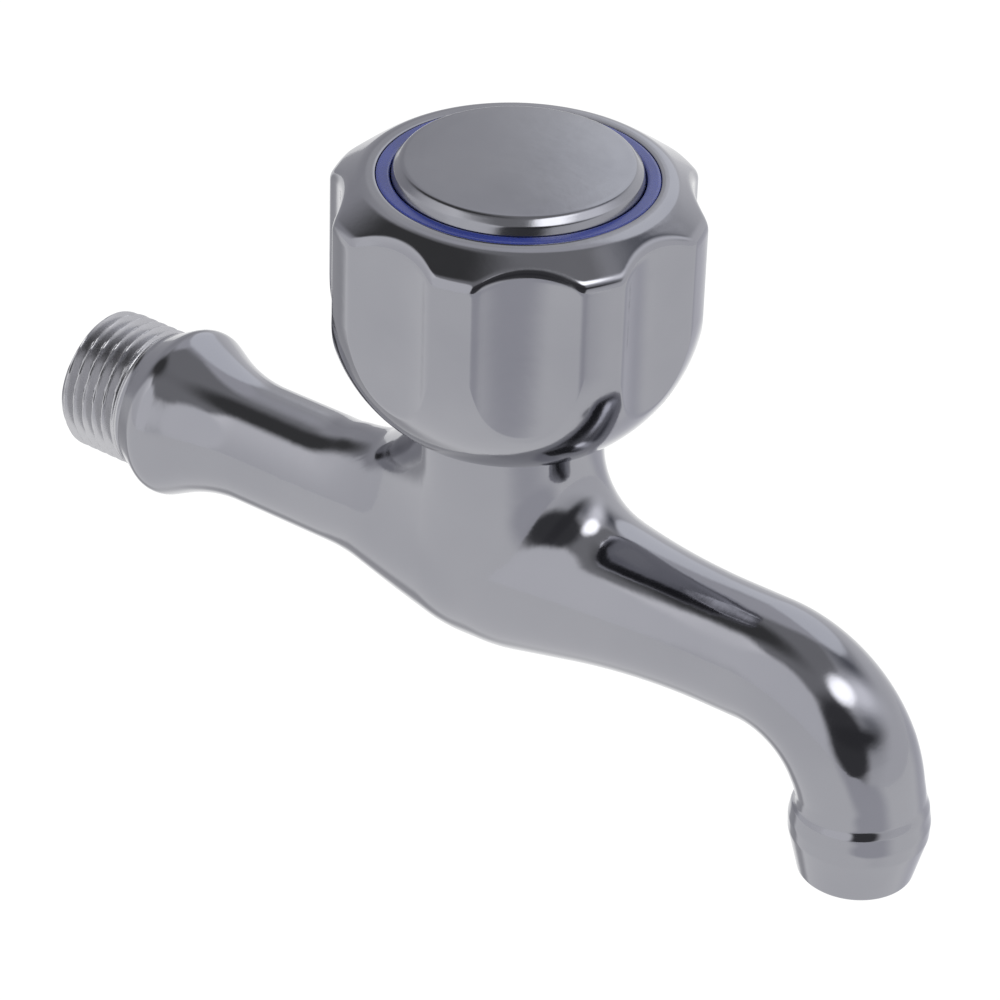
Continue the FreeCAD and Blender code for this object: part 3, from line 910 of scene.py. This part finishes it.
def build_wheel():
    """The fluted hand wheel with its ring and cap, in place of the CAD ones."""
    points, faces = wheel_mesh()
    wheel = make_piece("hand_wheel", points, faces, "wheel", chrome_wheel)
    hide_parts("wheel_shell")
    points, faces = lathe(ring_profile(), rim_steps, spindle_x)
    ring = make_piece("blue_ring", points, faces, "wheel", ring_blue)
    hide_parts("indicator_ring")
    points, faces = turned_solid(cap_profile(), rim_steps, spindle_x)
    cap = make_piece("raised_cap", points, faces, "wheel", chrome_cap)
    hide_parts("wheel_cap")


# Camera at the photograph's angle. Lengths are in millimetres, and camera_offset is where the
# wheel's axis meets the inlet's, to the right of the picture's middle and over it.
camera_azimuth = math.radians(36.106)
camera_elevation = math.radians(32.456)
camera_roll = math.radians(1.871)
camera_distance = 600.0
camera_offset = (0.82, -7.04)
focal_share = 4.30854
sensor_size = 36


def build_camera():
    """The camera, with the middle of the tap a little off the picture's middle."""
    azimuth, elevation, roll = camera_azimuth, camera_elevation, camera_roll
    back = np.array([math.sin(azimuth) * math.cos(elevation),
                     -math.cos(azimuth) * math.cos(elevation), math.sin(elevation)])
    level = np.array([math.cos(azimuth), math.sin(azimuth), 0])
    rising = np.cross(back, level)
    right = level * math.cos(roll) + rising * math.sin(roll)
    upward = -level * math.sin(roll) + rising * math.cos(roll)
    place = (np.array([spindle_x, 0, 0]) - camera_offset[0] * right - camera_offset[1] * upward
             + camera_distance * back)
    camera = bpy.data.objects.new("camera", bpy.data.cameras.new("camera"))
    bpy.context.scene.collection.objects.link(camera)
    turn = Matrix([right, upward, back]).transposed().to_4x4()
    camera.matrix_world = Matrix.Translation(Vector(place * MM)) @ turn
    camera.data.sensor_width = sensor_size
    camera.data.sensor_height = sensor_size
    camera.data.sensor_fit = "HORIZONTAL"
    camera.data.lens = sensor_size * focal_share
    camera.data.clip_start = 0.01
    camera.data.clip_end = 50
    bpy.context.scene.camera = camera


# The floor, in metres. It glows mildly where it is seen or mirrored, so that it stays white but
# for soft darker patches of painted shade in its glow, which the chrome mirrors.
floor_r = 6
floor_z = -0.65
floor_sides = 96
floor_grey = 0.9
floor_rough = 0.9
floor_glow = 1.07
floor_glow_share = 0.96


def math_node(tree, operation, first, second):
    """Output of a node that combines a value with another value or a number."""
    node = tree.nodes.new("ShaderNodeMath")
    node.operation = operation
    tree.links.new(first, node.inputs[0])
    if isinstance(second, (int, float)):
        node.inputs[1].default_value = second
    else:
        tree.links.new(second, node.inputs[1])
    return node.outputs[0]


def build_floor():
    """A pale floor well under the tap, with soft darker patches of painted shade in its glow.
    """
    material, tree, shader = new_material("pale_floor")
    shader.inputs["Base Color"].default_value = (floor_grey, floor_grey, floor_grey, 1)
    shader.inputs["Roughness"].default_value = floor_rough
    place = tree.nodes.new("ShaderNodeNewGeometry")
    toward = tree.nodes.new("ShaderNodeVectorMath")
    toward.operation = "NORMALIZE"
    tree.links.new(place.outputs["Position"], toward.inputs[0])
    white = tree.nodes.new("ShaderNodeEmission")
    white.inputs["Strength"].default_value = floor_glow
    # Painted shade: soft darker patches in the floor's glow, by direction from the tap's middle
    shade_tone = mix_patches(tree, toward.outputs["Vector"], (1, 1, 1), floor_shade_patches)
    tree.links.new(shade_tone, white.inputs["Color"])
    path = tree.nodes.new("ShaderNodeLightPath").outputs
    seen = math_node(tree, "MAXIMUM", path["Is Camera Ray"], path["Is Glossy Ray"])
    seen = math_node(tree, "MAXIMUM", seen, path["Is Transmission Ray"])
    mixed = tree.nodes.new("ShaderNodeMixShader")
    tree.links.new(math_node(tree, "MULTIPLY", seen, floor_glow_share), mixed.inputs["Fac"])
    tree.links.new(shader.outputs[0], mixed.inputs[1])
    tree.links.new(white.outputs[0], mixed.inputs[2])
    tree.links.new(mixed.outputs[0], tree.nodes["Material Output"].inputs["Surface"])
    bpy.ops.mesh.primitive_circle_add(
        vertices=floor_sides, radius=floor_r, fill_type="NGON", location=(0, 0, floor_z))
    floor = bpy.context.object
    floor.name = "floor"
    floor.data.materials.append(material)


# The studio around the tap, as soft patches seen from its middle: name, azimuth from the
# picture's right, elevation, half width, half height, turn (degrees), edge softness, colour
studio_light = (0.95, 0.95, 0.97)
studio_patches = [
    ("dusk_right", -13, 68, 59, 40, 23, 0.30, (0.03, 0.04, 0.07)),
    ("grey_back", 119, 5, 30, 60, -29, 0.15, (0.54, 0.54, 0.57)),
    ("pale_ceiling", 250, 59, 50, 42, -90, 0.48, (1.40, 1.39, 1.40)),
    ("ceiling", 250, 80, 33, 50, 30, 0.12, (0.37, 0.37, 0.38)),
    ("ceiling_left", 163, 59, 34, 14, 55, 0.45, (0.09, 0.09, 0.09)),
    ("front_dark", 276, 18, 23, 33, -37, 0.25, (0.085, 0.085, 0.09)),
    ("side_dark", 292, 22, 40, 6.5, 8, 0.45, (0.065, 0.065, 0.07)),
    ("pale_left", 229, 18, 25, 32, 0, 0.14, (1.10, 1.10, 1.12)),
    ("grey_window", 70, 50, 18, 26, -71, 0.25, (0.78, 0.78, 0.82)),
    ("window", 65, 35, 15, 27, 41, 0.15, (1.15, 1.17, 1.22)),
    ("softbox_end", 349, 43, 11, 24, 59, 0.80, (1.55, 1.55, 1.60)),
    ("softbox", 315, 54, 16, 9, 5, 0.40, (3.3, 3.3, 3.3)),
]
# Painted shade on the floor: darker patches in its glow for the chrome to mirror, in the same
# columns
floor_shade_patches = [
    ("front_floor_shade", 281, -10, 19, 36, 59, 0.31, (0.69, 0.69, 0.73)),
    ("right_floor_shade", 38, -32, 19, 32, 0, 0.50, (0.74, 0.74, 0.79)),
    ("left_floor_shade", 134, -34, 12, 36, -15, 0.35, (0.52, 0.52, 0.54)),
]


def direction(azimuth, elevation):
    """Unit vector for a place in the studio, in the frame's axes."""
    turn = math.radians(azimuth) + camera_azimuth
    rise = math.radians(elevation)
    level = math.cos(rise)
    return Vector((math.cos(turn) * level, math.sin(turn) * level, math.sin(rise)))


def patch_share(tree, look, patch):
    """1 in the middle of a soft patch of the studio and 0 outside it."""
    name, azimuth, elevation, wide, tall, turn, soft, _ = patch
    centre = direction(azimuth, elevation)
    level = Vector((0, 0, 1)).cross(centre).normalized()
    rising = centre.cross(level)
    lean = math.radians(turn)
    across = level * math.cos(lean) + rising * math.sin(lean)
    along = rising * math.cos(lean) - level * math.sin(lean)
    axes = Matrix([across, along, centre]).transposed()
    place = tree.nodes.new("ShaderNodeMapping")
    place.label = name
    place.vector_type = "TEXTURE"
    place.inputs["Rotation"].default_value = axes.to_euler()
    place.inputs["Scale"].default_value = (
        math.sin(math.radians(wide)), math.sin(math.radians(tall)), 1)
    tree.links.new(look, place.inputs["Vector"])
    flat = tree.nodes.new("ShaderNodeVectorMath")
    flat.operation = "MULTIPLY"
    flat.inputs[1].default_value = (1, 1, 0)
    tree.links.new(place.outputs["Vector"], flat.inputs[0])
    reach = tree.nodes.new("ShaderNodeVectorMath")
    reach.operation = "LENGTH"
    tree.links.new(flat.outputs["Vector"], reach.inputs[0])
    fade = tree.nodes.new("ShaderNodeMapRange")
    fade.interpolation_type = "SMOOTHSTEP"
    fade.inputs["From Min"].default_value = 1 + soft
    fade.inputs["From Max"].default_value = 1 - soft
    tree.links.new(reach.outputs["Value"], fade.inputs["Value"])
    apart = tree.nodes.new("ShaderNodeSeparateXYZ")
    tree.links.new(place.outputs["Vector"], apart.inputs["Vector"])
    ahead = math_node(tree, "GREATER_THAN", apart.outputs["Z"], 0)
    return math_node(tree, "MULTIPLY", fade.outputs["Result"], ahead)


def mix_patches(tree, look, plain, patches):
    """A plain colour with soft patches over it."""
    colour = None
    for patch in patches:
        mixed = tree.nodes.new("ShaderNodeMix")
        mixed.data_type = "RGBA"
        mixed.inputs["B"].default_value = (*patch[-1], 1)
        if colour is None:
            mixed.inputs["A"].default_value = (*plain, 1)
        else:
            tree.links.new(colour, mixed.inputs["A"])
        tree.links.new(patch_share(tree, look, patch), mixed.inputs["Factor"])
        colour = mixed.outputs["Result"]
    return colour


def build_world():
    """White surroundings with a grey ceiling, darker places in front and one soft box."""
    world = bpy.data.worlds.new("studio")
    bpy.context.scene.world = world
    world.use_nodes = True
    tree = world.node_tree
    look = tree.nodes.new("ShaderNodeTexCoord").outputs["Generated"]
    colour = mix_patches(tree, look, studio_light, studio_patches)
    tree.links.new(colour, tree.nodes["Background"].inputs["Color"])


dress_cad_nodes()
build_body()
build_wheel()
build_camera()
build_floor()
build_world()
bpy.context.scene.view_settings.view_transform = "Standard"
